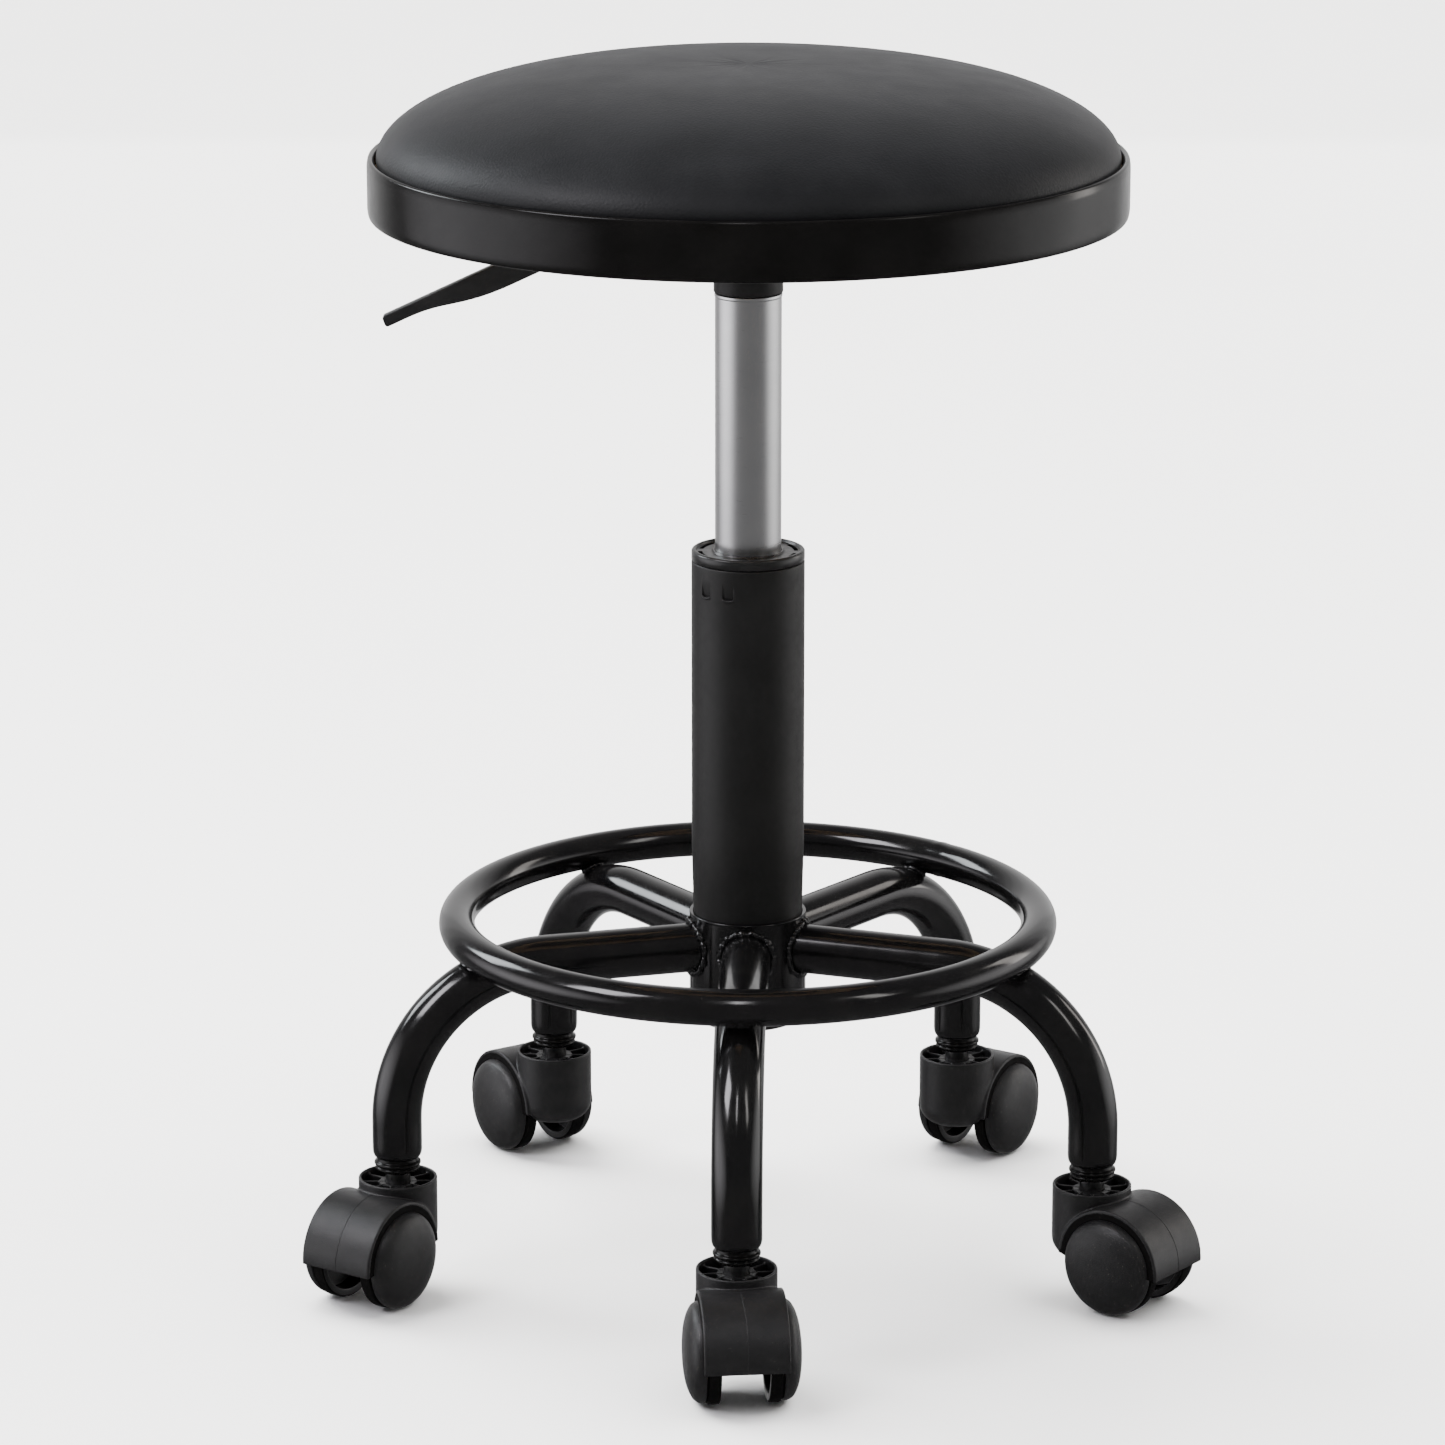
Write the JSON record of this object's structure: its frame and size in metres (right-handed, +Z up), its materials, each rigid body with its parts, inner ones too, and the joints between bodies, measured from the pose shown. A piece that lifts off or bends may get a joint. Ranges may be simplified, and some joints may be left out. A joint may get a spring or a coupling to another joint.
{
  "type": "adjustable swivel stool",
  "caption": "Backless round padded stool on a gas spring that lifts and swivels, with a side lever, a foot ring and bent tube legs on twin-wheel casters.",
  "frame": {"origin": "on the floor, at the centre of the stool's bounding box seen from above", "axes": "+Z up along the column, +X towards the sitter's right with the release lever on the -X side, -Y towards the front leg"},
  "size_m": [0.397, 0.3926, 0.5423],
  "materials": {
    "cover": "matte",
    "board": "matte",
    "gloss_plastic": "gloss",
    "satin_paint": "satin",
    "gloss_paint": "gloss",
    "cap_plastic": "satin",
    "brushed_steel": "satin",
    "zinc_steel": "satin",
    "caster_plastic": "matte",
    "wheel_plastic": "matte",
    "lever_plastic": "satin",
    "rubber": "matte"
  },
  "bodies": {
    "base": {"hub_tube": "gloss_paint", "column_tube": "satin_paint", "guide_bush": "cap_plastic", "foot_ring": "gloss_paint", "thrust_bearing": "zinc_steel", "leg_front": "gloss_paint", "leg_right": "gloss_paint", "leg_back_right": "gloss_paint", "leg_back_left": "gloss_paint", "leg_left": "gloss_paint", "stem_socket_front": "gloss_plastic", "stem_socket_right": "gloss_plastic", "stem_socket_back_right": "gloss_plastic", "stem_socket_back_left": "gloss_plastic", "stem_socket_left": "gloss_plastic", "caster_front_stem": "zinc_steel", "caster_right_stem": "zinc_steel", "caster_back_right_stem": "zinc_steel", "caster_back_left_stem": "zinc_steel", "caster_left_stem": "zinc_steel"},
    "gas_rod": {"piston_rod": "zinc_steel", "retaining_clip": "zinc_steel", "rubber_buffer": "rubber"},
    "seat": {"seat_cushion": "cover", "seat_board": "board", "seat_rim": "gloss_plastic", "mount_plate": "satin_paint", "lever_pin": "zinc_steel", "inner_tube": "brushed_steel", "rod_guide": "caster_plastic", "tube_collar": "satin_paint", "mount_bolt_1": "zinc_steel", "mount_bolt_2": "zinc_steel", "mount_bolt_3": "zinc_steel", "mount_bolt_4": "zinc_steel"},
    "lever": {"release_lever": "lever_plastic"},
    "button": {"release_button": "zinc_steel"},
    "caster_front": {"caster_front_housing": "caster_plastic", "caster_front_axle": "zinc_steel"},
    "wheel_front_a": {"caster_front_wheel_a": "wheel_plastic"},
    "wheel_front_b": {"caster_front_wheel_b": "wheel_plastic"},
    "caster_right": {"caster_right_housing": "caster_plastic", "caster_right_axle": "zinc_steel"},
    "wheel_right_a": {"caster_right_wheel_a": "wheel_plastic"},
    "wheel_right_b": {"caster_right_wheel_b": "wheel_plastic"},
    "caster_back_right": {"caster_back_right_housing": "caster_plastic", "caster_back_right_axle": "zinc_steel"},
    "wheel_back_right_a": {"caster_back_right_wheel_a": "wheel_plastic"},
    "wheel_back_right_b": {"caster_back_right_wheel_b": "wheel_plastic"},
    "caster_back_left": {"caster_back_left_housing": "caster_plastic", "caster_back_left_axle": "zinc_steel"},
    "wheel_back_left_a": {"caster_back_left_wheel_a": "wheel_plastic"},
    "wheel_back_left_b": {"caster_back_left_wheel_b": "wheel_plastic"},
    "caster_left": {"caster_left_housing": "caster_plastic", "caster_left_axle": "zinc_steel"},
    "wheel_left_a": {"caster_left_wheel_a": "wheel_plastic"},
    "wheel_left_b": {"caster_left_wheel_b": "wheel_plastic"}
  },
  "joints": [
    {"name": "seat_swivel", "type": "hinge", "parent": "base", "child": "gas_rod", "pos_m": [-0.0021, 0.01375, 0.3], "axis": [0, 0, 1], "continuous": true},
    {"name": "seat_lift", "type": "slide", "parent": "gas_rod", "child": "seat", "axis": [0, 0, 1], "range_m": [-0.11, 0.01]},
    {"name": "lever_lift", "type": "hinge", "parent": "seat", "child": "lever", "pos_m": [-0.0401, 0.01375, 0.468], "axis": [0, 1, 0], "range_deg": [0, 5], "stiffness_Nm_per_rad": 1, "springref_deg": -5.73},
    {"name": "button_press", "type": "slide", "parent": "seat", "child": "button", "axis": [0, 0, -1], "range_m": [0, 0.0036]},
    {"name": "caster_front_swivel", "type": "hinge", "parent": "base", "child": "caster_front", "pos_m": [-0.00663, -0.14818, 0.05], "axis": [0, 0, 1], "continuous": true},
    {"name": "wheel_front_a_roll", "type": "hinge", "parent": "caster_front", "child": "wheel_front_a", "pos_m": [-0.00446, -0.16877, 0.0222], "axis": [0.9945, 0.1045, 0], "continuous": true},
    {"name": "wheel_front_b_roll", "type": "hinge", "parent": "caster_front", "child": "wheel_front_b", "pos_m": [-0.00446, -0.16877, 0.0222], "axis": [0.9945, 0.1045, 0], "continuous": true},
    {"name": "caster_right_swivel", "type": "hinge", "parent": "base", "child": "caster_right", "pos_m": [0.15051, -0.04059, 0.05], "axis": [0, 0, 1], "continuous": true},
    {"name": "wheel_right_a_roll", "type": "hinge", "parent": "caster_right", "child": "wheel_right_a", "pos_m": [0.16693, -0.05319, 0.0222], "axis": [0.6088, 0.7934, 0], "continuous": true},
    {"name": "wheel_right_b_roll", "type": "hinge", "parent": "caster_right", "child": "wheel_right_b", "pos_m": [0.16693, -0.05319, 0.0222], "axis": [0.6088, 0.7934, 0], "continuous": true},
    {"name": "caster_back_right_swivel", "type": "hinge", "parent": "base", "child": "caster_back_right", "pos_m": [0.09674, 0.14211, 0.05], "axis": [0, 0, 1], "continuous": true},
    {"name": "wheel_back_right_a_roll", "type": "hinge", "parent": "caster_back_right", "child": "wheel_back_right_a", "pos_m": [0.10801, 0.15947, 0.0222], "axis": [-0.8387, 0.5446, 0], "continuous": true},
    {"name": "wheel_back_right_b_roll", "type": "hinge", "parent": "caster_back_right", "child": "wheel_back_right_b", "pos_m": [0.10801, 0.15947, 0.0222], "axis": [-0.8387, 0.5446, 0], "continuous": true},
    {"name": "caster_back_left_swivel", "type": "hinge", "parent": "base", "child": "caster_back_left", "pos_m": [-0.09363, 0.14742, 0.05], "axis": [0, 0, 1], "continuous": true},
    {"name": "wheel_back_left_a_roll", "type": "hinge", "parent": "caster_back_left", "child": "wheel_back_left_a", "pos_m": [-0.10499, 0.16473, 0.0222], "axis": [-0.8358, -0.549, 0], "continuous": true},
    {"name": "wheel_back_left_b_roll", "type": "hinge", "parent": "caster_back_left", "child": "wheel_back_left_b", "pos_m": [-0.10499, 0.16473, 0.0222], "axis": [-0.8358, -0.549, 0], "continuous": true},
    {"name": "caster_left_swivel", "type": "hinge", "parent": "base", "child": "caster_left", "pos_m": [-0.15751, -0.03198, 0.05], "axis": [0, 0, 1], "continuous": true},
    {"name": "wheel_left_a_roll", "type": "hinge", "parent": "caster_left", "child": "wheel_left_a", "pos_m": [-0.169, -0.0492, 0.0222], "axis": [0.832, -0.5548, 0], "continuous": true},
    {"name": "wheel_left_b_roll", "type": "hinge", "parent": "caster_left", "child": "wheel_left_b", "pos_m": [-0.169, -0.0492, 0.0222], "axis": [0.832, -0.5548, 0], "continuous": true}
  ],
  "couplings": [
    {"joint": "button_press", "follows": "lever_lift", "m_per_rad": 0.04}
  ]
}
